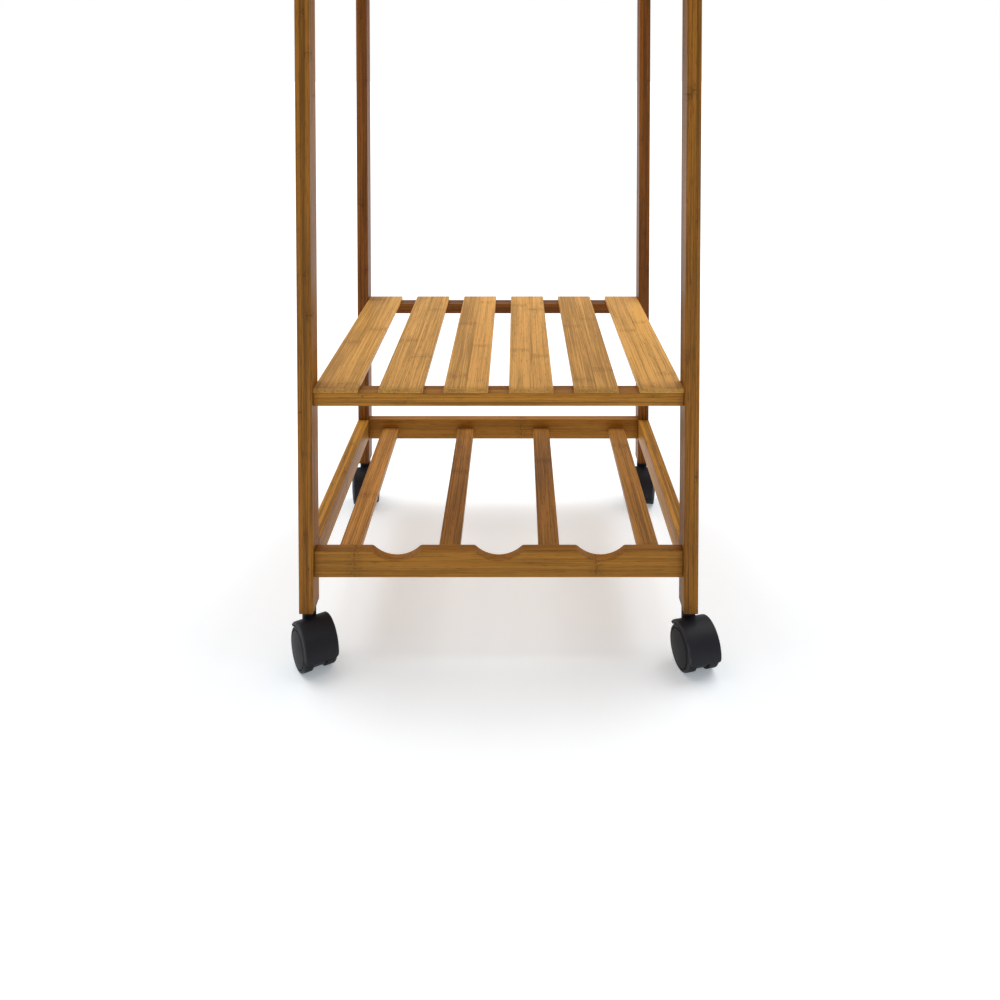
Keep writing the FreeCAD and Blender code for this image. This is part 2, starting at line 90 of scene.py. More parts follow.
# -------- node wiring
class Wiring:
    """Adds nodes to one node tree and joins them."""

    NOISE_ROUGHNESS = 0.6

    def __init__(self, tree: NodeTree) -> None:
        """Keeps the tree that the nodes go into."""
        self.tree = tree

    def add(self, kind: str, **settings: object) -> Node:
        """Adds one node.

        Args:
            kind: The node's type name.
            settings: Values for the node's own properties.

        Returns:
            The new node.
        """
        node = self.tree.nodes.new(kind)
        for name, value in settings.items():
            setattr(node, name, value)
        return node

    def feed(self, socket: Socket, value: Feed) -> None:
        """Joins a socket to another one, or sets its plain value."""
        if isinstance(value, bpy.types.NodeSocket):
            self.tree.links.new(value, socket)
        else:
            socket.default_value = value

    def fill(self, node: Node, **values: Feed) -> Node:
        """Feeds a node's inputs by name, with _ for each space in a name.

        Args:
            node: The node.
            values: What goes into each input.

        Returns:
            The same node.
        """
        for name, value in values.items():
            self.feed(node.inputs[name.replace("_", " ")], value)
        return node

    def fed(self, kind: str, values: Iterable[Feed], **settings: object) -> Node:
        """Adds one node and feeds its inputs in order.

        Args:
            kind: The node's type name.
            values: What goes into its inputs.
            settings: Values for the node's own properties.

        Returns:
            The new node.
        """
        node = self.add(kind, **settings)
        for socket, value in zip(node.inputs, values):
            self.feed(socket, value)
        return node

    def sum(self, operation: str, *values: Feed, clamp: bool = False) -> Socket:
        """The result of a Math node, held between 0 and 1 if it is clamped."""
        return self.fed("ShaderNodeMath", values, operation=operation, use_clamp=clamp).outputs[0]

    def step(
        self, value: Feed, low: Feed, high: Feed, bottom: float = 0.0, top: float = 1.0
    ) -> Socket:
        """A smooth step from bottom to top, as a value goes from low to high."""
        ends = (value, low, high, bottom, top)
        return self.fed("ShaderNodeMapRange", ends, interpolation_type="SMOOTHSTEP").outputs[0]

    def vector(self, operation: str, *values: Feed) -> Socket:
        """The result of a Vector Math node."""
        return self.fed("ShaderNodeVectorMath", values, operation=operation).outputs[0]

    def blend(self, share: Feed, first: Feed, second: Feed, way: str = "MIX") -> Socket:
        """Mixes two colours.

        Args:
            share: How much of the second colour there is.
            first: The first colour.
            second: The second colour.
            way: The blend type.

        Returns:
            The mixed colour.
        """
        node = self.add("ShaderNodeMix", data_type="RGBA", blend_type=way, clamp_factor=True)
        for index, value in ((0, share), (6, first), (7, second)):
            self.feed(node.inputs[index], value)
        return node.outputs[2]

    def noise(self, place: Socket, per_metre: Sequence[float], detail: float = 2.0) -> Socket:
        """Noise from 0 to 1 on a stretched place.

        Args:
            place: The place, in metres.
            per_metre: Noise cells in each metre along the three axes.
            detail: How many finer layers are added.

        Returns:
            The noise value.
        """
        node = self.add("ShaderNodeTexNoise")
        self.fill(node, Vector=self.vector("MULTIPLY", place, per_metre), Scale=1.0)
        self.fill(node, Detail=detail, Roughness=self.NOISE_ROUGHNESS)
        return node.outputs[0]

    def split(self, vector: Socket) -> list[Socket]:
        """The three parts of a vector."""
        return list(self.fed("ShaderNodeSeparateXYZ", [vector]).outputs)

    def joined(self, *parts: Feed) -> Socket:
        """A vector made of three parts."""
        return self.fed("ShaderNodeCombineXYZ", parts).outputs[0]


class Recipe(Wiring):
    """A shader node group that several finishes share."""

    KINDS = {"number": "NodeSocketFloat", "vector": "NodeSocketVector", "colour": "NodeSocketColor"}

    def __init__(self, name: str, takes: dict[str, str], gives: dict[str, str]) -> None:
        """Makes an empty group.

        Args:
            name: The group's name.
            takes: Each input's name and kind.
            gives: Each output's name and kind.
        """
        super().__init__(bpy.data.node_groups.new(name, "ShaderNodeTree"))
        for sockets, way in ((takes, "INPUT"), (gives, "OUTPUT")):
            for socket, kind in sockets.items():
                self.tree.interface.new_socket(
                    name=socket, in_out=way, socket_type=self.KINDS[kind]
                )
        self.given = self.add("NodeGroupInput").outputs
        self.result = self.add("NodeGroupOutput")

    def give(self, **values: Feed) -> NodeTree:
        """Joins the group's outputs and returns its tree."""
        self.fill(self.result, **values)
        return self.tree


# Layers of noise: cells in each metre along, across and through a member, and their detail.
DRIFT = ((7, 35, 35), 1.0)
BANDS = ((2.5, 190, 190), 2.0)
STREAKS = ((5, 560, 560), 3.0)
FIBRES = ((14, 1300, 1300), 2.0)
PORES = ((60, 1300, 1300), 2.0)
WOBBLE = ((90, 170, 170), 2.0)
BREAKS = ((200, 260, 260), 1.0)
SPECKS = ((330, 620, 620), 1.0)

# How much each of these layers darkens the wood.
LAYER_TONE = {DRIFT: 0.8, BANDS: 1.2, STREAKS: 2.2, FIBRES: 1.5}
PORE_TONE = 0.5

# Glue lines: where the dark core ends and where the line has faded.
SEAM = (0.05 * MM, 0.32 * MM)
SEAM_SHADE = 0.5

# Noise between these two values turns from nothing into the full mark.
PORE_RANGE = (0.56, 0.66)
BREAK_RANGE = (0.42, 0.56)
SPECK_RANGE = (0.55, 0.68)

# Culm nodes: how far the ring wanders, its width, the speckled zone beside it, and their shades.
NODE_WANDER = 7.0 * MM
RING_REACH = (0.3 * MM, 1.1 * MM)
SPECKLED_REACH = (3.5 * MM, 11.0 * MM)
RING_SHADE = 0.5
SPECK_SHADE = 0.4
NODE_TONE = 0.12

# Strips: how far the fibres are moved from one to the next, and how much the strips differ.
STRIP_SHIFT = (3.1, 2.3)
STRIP_TONE = 0.55
STRIP_WARMTH = 0.22
WARM_FILTER = (1.0, 0.86, 0.66, 1.0)

# Tone: its spread at full contrast and its mean.
TONE_SPREAD = 1.6
TONE_MEAN = 0.42

# End grain: how far each of two stains reaches in from the end, and how dark it is.
END_STAINS = ((0.5 * MM, 0.42), (9.0 * MM, 0.24))
STAIN_FILTER = (0.3, 0.24, 0.2, 1.0)

# Surface: roughness and relief.
WOOD_ROUGHNESS = 0.36
FIBRE_ROUGHNESS = 0.16
SHADE_ROUGHNESS = 0.2
STREAK_RELIEF = 0.35
FIBRE_RELIEF = 0.5
MARK_RELIEF = -0.9
PORE_RELIEF = -0.4


def bamboo_grain() -> NodeTree:
    """The look of laminated bamboo: strips, fibres, culm nodes, glue lines and stained ends.

    Returns:
        A group whose Place runs along the fibres first, from the member's lowest corner.
    """
    takes = {
        "Place": "vector", "Length": "number", "Strip": "number", "Strips": "number",
        "Layer": "number", "Layers": "number", "Node Gap": "number", "Node Start": "number",
        "Node Scatter": "number", "Seed": "number", "Contrast": "number",
        "Pale": "colour", "Dark": "colour",
    }
    gives = {"Color": "colour", "Roughness": "number", "Height": "number"}
    group = Recipe("bamboo grain", takes, gives)
    given, calc = group.given, group.sum
    along, across, through = group.split(given["Place"])

    # Which strip a point is in, kept off the member's own outer faces.
    cells, seams = [], []
    for value, width, count in ((across, "Strip", "Strips"), (through, "Layer", "Layers")):
        last = calc("SUBTRACT", given[count], 0.1)
        cell = calc("MINIMUM", calc("MAXIMUM", calc("DIVIDE", value, given[width]), 0.1), last)
        cells.append(calc("FLOOR", cell))
        off_middle = calc("ABSOLUTE", calc("SUBTRACT", calc("FRACT", cell), 0.5))
        to_seam = calc("MULTIPLY", calc("SUBTRACT", 0.5, off_middle), given[width])
        seams.append(group.step(to_seam, *SEAM, 1.0, 0.0))
    seam = calc("MAXIMUM", *seams)

    lottery = [group.joined(*cells, given["Seed"])]
    draw = group.fed("ShaderNodeTexWhiteNoise", lottery, noise_dimensions="3D")
    lot, swing, _ = group.split(draw.outputs[1])

    # Fibres don't run on from one strip into the next.
    ahead, deeper = STRIP_SHIFT
    shift = group.joined(
        calc("MULTIPLY", lot, ahead), given["Seed"], calc("MULTIPLY", swing, deeper)
    )
    place = group.vector("ADD", given["Place"], shift)

    noises = {layer: group.noise(place, *layer) for layer in LAYER_TONE}
    streaks, fibres = noises[STREAKS], noises[FIBRES]
    pores = group.step(group.noise(place, *PORES), *PORE_RANGE)

    # Culm nodes: a broken dark line with specks on both sides of it.
    turn = calc("DIVIDE", calc("SUBTRACT", along, given["Node Start"]), given["Node Gap"])
    turn = calc("ADD", calc("MULTIPLY_ADD", swing, given["Node Scatter"], turn), 0.5)
    off_node = calc("MULTIPLY", calc("SUBTRACT", calc("FRACT", turn), 0.5), given["Node Gap"])
    wobble = calc("SUBTRACT", group.noise(place, *WOBBLE), 0.5)
    off_node = calc("ABSOLUTE", calc("MULTIPLY_ADD", wobble, NODE_WANDER, off_node))
    ring = calc(
        "MULTIPLY", group.step(off_node, *RING_REACH, 1.0, 0.0),
        group.step(group.noise(place, *BREAKS), *BREAK_RANGE),
    )
    near = group.step(off_node, *SPECKLED_REACH, 1.0, 0.0)
    specks = calc("MULTIPLY", near, group.step(group.noise(place, *SPECKS), *SPECK_RANGE))
    marks = calc(
        "MAXIMUM", calc("MULTIPLY", ring, RING_SHADE), calc("MULTIPLY", specks, SPECK_SHADE)
    )

    # How dark each point is.
    tone = calc("MULTIPLY", calc("SUBTRACT", lot, 0.5), STRIP_TONE)
    for layer, value in noises.items():
        tone = calc("MULTIPLY_ADD", calc("SUBTRACT", value, 0.5), LAYER_TONE[layer], tone)
    tone = calc("MULTIPLY_ADD", pores, PORE_TONE, tone)
    tone = calc("MULTIPLY_ADD", near, NODE_TONE, tone)
    spread = calc("MULTIPLY", given["Contrast"], TONE_SPREAD)
    tone = calc("MULTIPLY_ADD", tone, spread, TONE_MEAN, clamp=True)
    colour = group.blend(tone, given["Pale"], given["Dark"])
    warm = calc("MULTIPLY", swing, STRIP_WARMTH)
    colour = group.blend(warm, colour, group.blend(1.0, colour, WARM_FILTER, "MULTIPLY"))

    # Dark cut ends, glue lines and marks.
    to_end = calc("MINIMUM", along, calc("SUBTRACT", given["Length"], along))
    ends = [group.step(to_end, 0.0, reach, dark, 0.0) for reach, dark in END_STAINS]
    end = calc("MAXIMUM", *ends)
    shade = calc("MAXIMUM", marks, calc("MAXIMUM", end, calc("MULTIPLY", seam, SEAM_SHADE)))
    stain = group.blend(1.0, given["Dark"], STAIN_FILTER, "MULTIPLY")

    rough = calc("MULTIPLY_ADD", fibres, FIBRE_ROUGHNESS, WOOD_ROUGHNESS)
    rough = calc("MULTIPLY_ADD", shade, SHADE_ROUGHNESS, rough)
    height = calc("MULTIPLY_ADD", streaks, STREAK_RELIEF, calc("MULTIPLY", fibres, FIBRE_RELIEF))
    height = calc("MULTIPLY_ADD", calc("MAXIMUM", marks, seam), MARK_RELIEF, height)
    height = calc("MULTIPLY_ADD", pores, PORE_RELIEF, height)
    return group.give(Color=group.blend(shade, colour, stain), Roughness=rough, Height=height)


def edge_wear() -> NodeTree:
    """Rubbed edges, from the share that each rounding carries in the attribute named edge.

    Returns:
        A group that changes a colour along the edges and says where.
    """
    takes = {"Place": "vector", "Edge": "number", "Amount": "number", "Color": "colour"}
    group = Recipe("edge wear", takes | {"Worn": "colour"}, {"Color": "colour", "Mask": "number"})
    given = group.given
    patches = group.step(group.noise(given["Place"], (70, 70, 70), 3.0), 0.3, 0.66)
    most = group.sum("MULTIPLY", given["Edge"], given["Amount"])
    mask = group.sum("MULTIPLY", most, patches, clamp=True)
    return group.give(Color=group.blend(mask, given["Color"], given["Worn"]), Mask=mask)


def floor_dust() -> NodeTree:
    """Dust that gathers on what is close to the floor.

    Returns:
        A group that greys a colour and says where.
    """
    takes = {"Place": "vector", "Reach": "number", "Amount": "number", "Color": "colour"}
    group = Recipe("floor dust", takes | {"Dust": "colour"}, {"Color": "colour", "Mask": "number"})
    given = group.given
    low = group.step(group.split(given["Place"])[2], 0.0, given["Reach"], 1.0, 0.0)
    specks = group.step(group.noise(given["Place"], (520, 520, 520), 3.0), 0.44, 0.72)
    most = group.sum("MULTIPLY", low, specks)
    mask = group.sum("MULTIPLY", most, given["Amount"], clamp=True)
    return group.give(Color=group.blend(mask, given["Color"], given["Dust"]), Mask=mask)


GRAIN = bamboo_grain()
WEAR = edge_wear()
DUST = floor_dust()


# -------- finishes
class Grain(Enum):
    """The way the fibres run, then the ways across and through a member."""

    ALONG_X = (0, 1, 2)
    ALONG_Y = (1, 0, 2)
    ALONG_Z = (2, 0, 1)


class Stain(Enum):
    """The pale and the dark colour of one batch of lacquered bamboo; two batches also carry painted
    light: a sheen on the slats and shade on the back members.
    """

    # Paler than the slats' own bamboo: this stain also paints a sheen onto their tops.
    SLAT_PAINTED_SHEEN = (tint(238, 180, 96), tint(176, 130, 63))
    RAIL = (tint(180, 122, 42), tint(129, 86, 26))
    SIDE_RAIL = (tint(192, 137, 52), tint(138, 96, 32))
    RACK_RAIL = (tint(170, 116, 42), tint(124, 84, 27))
    RACK_PALE = (tint(206, 148, 76), tint(151, 105, 49))
    RACK_DEEP = (tint(177, 125, 58), tint(124, 87, 39))
    POST = (tint(154, 100, 30), tint(106, 68, 19))
    # A darker copy of the post stain for the back members: partly their own colour, partly painted
    # shade.
    BACK_PAINTED_SHADE = (tint(138, 83, 25), tint(98, 58, 17))
    BOARD = (tint(190, 140, 74), tint(142, 100, 47))


class Painter(Wiring):
    """One material being wired: its tree, its shader and its place input."""

    def __init__(self, name: str) -> None:
        """Starts a material with a plain Principled shader.

        Args:
            name: The material's name.
        """
        self.material = bpy.data.materials.new(name)
        self.material.use_nodes = True
        super().__init__(self.material.node_tree)
        self.shader = next(node for node in self.tree.nodes if node.type == "BSDF_PRINCIPLED")
        self.place = self.add("ShaderNodeTexCoord").outputs["Object"]
        self.edge = self.add("ShaderNodeAttribute", attribute_name="edge").outputs["Fac"]

    def group(self, tree: NodeTree, **values: Feed) -> NodeOutputs:
        """Places a shared group with its own values and returns its outputs."""
        node = self.add("ShaderNodeGroup", node_tree=tree)
        return self.fill(node, **values).outputs

    def rubbed(self, place: Socket, colour: Socket, worn: Colour, amount: float) -> Socket:
        """A colour with its edges rubbed to another one, by an amount."""
        given = {"Place": place, "Edge": self.edge, "Amount": amount}
        return self.group(WEAR, **given, Color=colour, Worn=worn)["Color"]

    def bump(self, height: Feed, strength: float, depth: float) -> None:
        """Gives the shader's surface a relief.

        Args:
            height: The relief, from 0 to 1.
            strength: How much of it shows.
            depth: The depth of a full step, in metres.
        """
        node = self.add("ShaderNodeBump")
        self.fill(node, Strength=strength, Distance=depth, Height=height)
        self.feed(self.shader.inputs["Normal"], node.outputs[0])


@dataclass(frozen=True)
class Bamboo:
    """Lacquered laminated bamboo for one member.

    Attributes:
        stain: The batch of colour.
        grain: The way the fibres run.
        strips: Strips side by side across the member.
        layers: Strips through the member.
        node_gap: Length of culm between two nodes.
        node_start: Place of the first node along the member, from its low end.
        node_scatter: How far nodes of neighbouring strips are out of step, 0 to 1.
        seed: Picks the strips.
        contrast: How strongly the strips and fibres differ.
    """

    stain: Stain
    grain: Grain
    strips: int = 1
    layers: int = 1
    node_gap: float = 0.21
    node_start: float = 0.08
    node_scatter: float = 1.0
    seed: float = 0.0
    contrast: float = 0.8
    wear: float = 0.4
    sheen: float = 0.14
    relief: float = 0.4
    relief_depth: float = 0.12 * MM

    def dress(self, name: str, low: Vector, high: Vector) -> Material:
        """Makes the material for a member between two corners.

        Args:
            name: The material's name.
            low: The member's lowest corner.
            high: The member's highest corner.

        Returns:
            The material.
        """
        painter = Painter(name)
        moved = painter.add("ShaderNodeMapping")
        painter.fill(moved, Vector=painter.place, Location=tuple(-value for value in low))
        parts = painter.split(moved.outputs[0])
        ordered = painter.joined(*[parts[axis] for axis in self.grain.value])
        length, width, depth = ((high - low)[axis] for axis in self.grain.value)
        pale, dark = self.stain.value
        wood = painter.group(
            GRAIN, Place=ordered, Length=length,
            Strip=width / self.strips, Strips=float(self.strips),
            Layer=depth / self.layers, Layers=float(self.layers),
            Node_Gap=self.node_gap, Node_Start=self.node_start, Node_Scatter=self.node_scatter,
            Seed=self.seed, Contrast=self.contrast, Pale=pale, Dark=dark,
        )
        colour = painter.rubbed(ordered, wood["Color"], pale, self.wear)
        painter.fill(painter.shader, Base_Color=colour, Roughness=wood["Roughness"])
        painter.fill(painter.shader, Specular_IOR_Level=self.sheen)
        painter.bump(wood["Height"], self.relief, self.relief_depth)
        return painter.material


@dataclass(frozen=True)
class MouldedPlastic:
    """Moulded plastic with a fine skin, scuffed edges and floor dust.

    Attributes:
        colour: Its colour.
        roughness: Its mean roughness.
        skin: Cells of the moulded skin in each metre.
        dust: How much dust it holds.
        dust_reach: How high above the floor dust gathers.
        scuffed: The colour of its rubbed edges.
        dusty: The colour of the dust.
        cloudiness: How much the roughness changes from place to place.
    """

    colour: Colour
    roughness: float = 0.5
    skin: float = 2600.0
    dust: float = 0.25
    dust_reach: float = 20.0 * MM
    scuffed: Colour = tint(78, 78, 82)
    dusty: Colour = tint(120, 116, 110)
    wear: float = 0.5
    cloudiness: float = 0.14
    sheen: float = 0.18

    def dress(self, name: str) -> Material:
        """Makes the material.

        Args:
            name: The material's name.

        Returns:
            The material.
        """
        painter = Painter(name)
        skin = painter.noise(painter.place, (self.skin,) * 3, 2.0)
        cloud = painter.noise(painter.place, (60, 60, 60), 3.0)
        paler = tuple(min(1.0, value * 1.9 + 0.004) for value in self.colour[:3]) + (1.0,)
        colour = painter.blend(painter.sum("MULTIPLY", cloud, 0.5), self.colour, paler)
        colour = painter.rubbed(painter.place, colour, self.scuffed, self.wear)
        dusty = painter.group(
            DUST, Place=painter.place, Reach=self.dust_reach, Amount=self.dust, Color=colour,
            Dust=self.dusty,
        )
        smoothest = self.roughness - self.cloudiness / 2
        rough = painter.sum("MULTIPLY_ADD", cloud, self.cloudiness, smoothest)
        rough = painter.sum("MULTIPLY_ADD", dusty["Mask"], 0.3, rough)
        painter.fill(painter.shader, Base_Color=dusty["Color"], Roughness=rough)
        painter.fill(painter.shader, Specular_IOR_Level=self.sheen)
        painter.bump(skin, 0.3, 0.05 * MM)
        return painter.material


@dataclass(frozen=True)
class PlatedSteel:
    """Zinc-plated steel with fine turning marks.

    Attributes:
        colour: Its colour.
        roughness: Its mean roughness.
        marks: Turning marks in each metre along the upright axis.
        dull: The colour of its duller patches.
        bright: The colour of its rubbed edges.
    """

    colour: Colour = tint(186, 188, 190)
    roughness: float = 0.3
    marks: float = 3000.0
    dull: Colour = tint(150, 150, 146)
    bright: Colour = tint(214, 214, 214)
    wear: float = 0.6

    def dress(self, name: str) -> Material:
        """Makes the material.

        Args:
            name: The material's name.

        Returns:
            The material.
        """
        painter = Painter(name)
        lines = painter.noise(painter.place, (40, 40, self.marks), 2.0)
        cloud = painter.noise(painter.place, (150, 150, 150), 3.0)
        colour = painter.blend(cloud, self.colour, self.dull)
        colour = painter.rubbed(painter.place, colour, self.bright, self.wear)
        rough = painter.sum("MULTIPLY_ADD", lines, 0.2, self.roughness - 0.1)
        painter.fill(painter.shader, Base_Color=colour, Roughness=rough, Metallic=1.0)
        painter.bump(lines, 0.2, 0.02 * MM)
        return painter.material


@dataclass(frozen=True)
class RawBirch:
    """Unstained birch dowels with pressed flutes.

    Attributes:
        pale: The pale colour of the wood.
        dark: The dark colour of its pores.
        grain: The way the dowels lie.
    """

    pale: Colour = tint(222, 196, 152)
    dark: Colour = tint(178, 142, 96)
    grain: Grain = Grain.ALONG_X

    def dress(self, name: str) -> Material:
        """Makes the material.

        Args:
            name: The material's name.

        Returns:
            The material.
        """
        painter = Painter(name)
        parts = painter.split(painter.place)
        ordered = painter.joined(*[parts[axis] for axis in self.grain.value])
        pores = painter.noise(ordered, (90, 2200, 2200), 2.0)
        rings = painter.noise(ordered, (8, 500, 500), 2.0)
        ringed = painter.sum("MULTIPLY", rings, 0.5)
        share = painter.sum("MULTIPLY_ADD", pores, 0.6, ringed, clamp=True)
        painter.fill(painter.shader, Base_Color=painter.blend(share, self.pale, self.dark))
        painter.fill(painter.shader, Roughness=painter.sum("MULTIPLY_ADD", rings, 0.2, 0.6))
        painter.bump(pores, 0.4, 0.1 * MM)
        return painter.material


# -------- mesh work
SHARP_ANGLE = math.radians(38)
FLAT_ANGLE = math.radians(0.3)
MERGE = 1e-6


def softened(
    mesh: BMesh, edges: Iterable[BMEdge], width: float, steps: int = 4
) -> None:
    """Rounds edges, and marks the middle of each rounding in the layer named edge.

    Args:
        mesh: The mesh.
        edges: The edges to round.
        width: The rounding's width.
        steps: Faces across the rounding.
    """
    layer = mesh.verts.layers.float.get("edge") or mesh.verts.layers.float.new("edge")
    rounded = bmesh.ops.bevel(
        mesh, geom=list(edges), offset=width, offset_type="OFFSET", segments=steps,
        profile=0.5, affect="EDGES", clamp_overlap=True, material=-1,
    )
    faces = set(rounded["faces"])
    for vert in {vert for face in faces for vert in face.verts}:
        if all(face in faces for face in vert.link_faces):
            vert[layer] = 1.0


def sharp_edges(mesh: BMesh) -> list[BMEdge]:
    """The edges where two faces meet at a clear angle."""
    return [
        edge for edge in mesh.edges if edge.is_manifold and edge.calc_face_angle() > SHARP_ANGLE
    ]


def spun(outline: Sequence[tuple[float, float]], steps: int) -> BMesh:
    """Spins an outline, whose two ends lie on the X axis, about that axis.

    Args:
        outline: Corners as distance along the axis and distance from it.
        steps: Faces round the axis.

    Returns:
        The closed mesh.
    """
    mesh = bmesh.new()
    verts = [mesh.verts.new((x, 0.0, radius)) for x, radius in outline]
    edges = [mesh.edges.new(pair) for pair in zip(verts, verts[1:])]
    bmesh.ops.spin(
        mesh, geom=verts + edges, cent=(0, 0, 0), axis=(1, 0, 0), dvec=(0, 0, 0), angle=math.tau,
        steps=steps, use_merge=True, use_duplicate=False,
    )
    bmesh.ops.remove_doubles(mesh, verts=mesh.verts, dist=MERGE)
    bmesh.ops.dissolve_degenerate(mesh, dist=MERGE, edges=mesh.edges)
    bmesh.ops.recalc_face_normals(mesh, faces=mesh.faces)
    return mesh


def sliced(mesh: BMesh, point: Vector, outward: Vector) -> None:
    """Cuts off what lies beyond a plane and closes the cut.

    Args:
        mesh: The mesh.
        point: A point on the plane.
        outward: The plane's normal, towards what goes.
    """
    cut = bmesh.ops.bisect_plane(
        mesh, geom=mesh.verts[:] + mesh.edges[:] + mesh.faces[:], dist=MERGE, plane_co=point,
        plane_no=outward, clear_outer=True,
    )
    edges = [item for item in cut["geom_cut"] if isinstance(item, BMEdge)]
    rim = [edge for edge in edges if edge.is_boundary]
    bmesh.ops.holes_fill(mesh, edges=rim, sides=0)


def closed_rod(
    bottom: Vector, top: Vector, radius: float, steps: int = 48
) -> BMesh:
    """A closed rod between two points.

    Args:
        bottom: The centre of one end.
        top: The centre of the other end.
        radius: Its radius.
        steps: Faces round it.

    Returns:
        The mesh.
    """
    mesh = bmesh.new()
    along = top - bottom
    turn = along.to_track_quat("Z", "Y").to_matrix().to_4x4()
    lie = Matrix.Translation((bottom + top) / 2) @ turn
    bmesh.ops.create_cone(
        mesh, cap_ends=True, segments=steps, radius1=radius, radius2=radius,
        depth=along.length, matrix=lie,
    )
    return mesh


def plain_block(low: Vector, high: Vector) -> BMesh:
    """A box between two corners."""
    mesh = bmesh.new()
    bmesh.ops.create_cube(mesh, size=1.0)
    bmesh.ops.scale(mesh, vec=high - low, verts=mesh.verts)
    bmesh.ops.translate(mesh, vec=(low + high) / 2, verts=mesh.verts)
    return mesh


def as_object(name: str, mesh: BMesh) -> Object:
    """Puts a bmesh into a new linked object.

    Args:
        name: The object's name.
        mesh: The bmesh, which is freed.

    Returns:
        The object.
    """
    data = bpy.data.meshes.new(name)
    mesh.to_mesh(data)
    mesh.free()
    shown = bpy.data.objects.new(name, data)
    bpy.context.scene.collection.objects.link(shown)
    return shown


def fused(parts: Sequence[BMesh]) -> BMesh:
    """Unites closed meshes into one.

    Args:
        parts: The meshes, which are freed.

    Returns:
        The united mesh.
    """
    base, *others = [as_object(f"fuse_{index}", part) for index, part in enumerate(parts)]
    for other in others:
        base.modifiers.new("join", "BOOLEAN").operation = "UNION"
        base.modifiers[-1].solver = "EXACT"
        base.modifiers[-1].object = other
    whole = bmesh.new()
    whole.from_object(base, bpy.context.evaluated_depsgraph_get())
    for used in (base, *others):
        data = used.data
        bpy.data.objects.remove(used)
        bpy.data.meshes.remove(data)
    bmesh.ops.remove_doubles(whole, verts=whole.verts, dist=0.5 * MERGE)
    bmesh.ops.dissolve_limit(
        whole, angle_limit=FLAT_ANGLE, verts=whole.verts, edges=whole.edges,
        use_dissolve_boundaries=False,
    )
    return whole


@dataclass(frozen=True)
class Place:
    """Where a piece belongs.

    Attributes:
        body: The CAD body that it rides on.
        slot: The record's material slot; it is not used.
        stands_for: The CAD nodes that it replaces.
    """

    body: str
    slot: str
    stands_for: tuple[str, ...] = ()


def settled(
    name: str, mesh: BMesh, finish: Material, place: Place
) -> Object:
    """Turns a mesh into a finished piece on its body.

    Args:
        name: The piece's name.
        mesh: Its mesh in the cart's frame, which is freed.
        finish: Its material.
        place: Where it belongs.

    Returns:
        The piece.
    """
    bmesh.ops.recalc_face_normals(mesh, faces=mesh.faces)
    for face in mesh.faces:
        face.smooth = True
    for edge in sharp_edges(mesh):
        edge.smooth = False
    piece = as_object(name, mesh)
    piece.data.materials.append(finish)
    weigh = piece.modifiers.new("even_normals", "WEIGHTED_NORMAL")
    weigh.keep_sharp = True
    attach(piece, place.body)
    if place.stands_for:
        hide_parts(*place.stands_for)
    log.info("%s: %d faces on %s", name, len(piece.data.polygons), place.body)
    return piece


# -------- bamboo frame
@dataclass
class Member:
    """One straight bamboo member that stands for the CAD node of its name.

    Attributes:
        node: The CAD node.
        bamboo: Its finish.
        slot: The record's material slot.
        edge: Width of its rounded edges.
    """

    node: str
    bamboo: Bamboo
    slot: str = "bamboo_frame"
    edge: float = 0.9 * MM

    def shape(self) -> BMesh:
        """Its mesh, with every edge rounded."""
        mesh = plain_block(*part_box(self.node))
        softened(mesh, mesh.edges, self.edge)
        return mesh

    def build(self) -> Object:
        """Makes the finished piece."""
        finish = self.bamboo.dress(f"{self.node}_bamboo", *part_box(self.node))
        place = Place("frame", self.slot, (self.node,))
        return settled(f"{self.node}_member", self.shape(), finish, place)


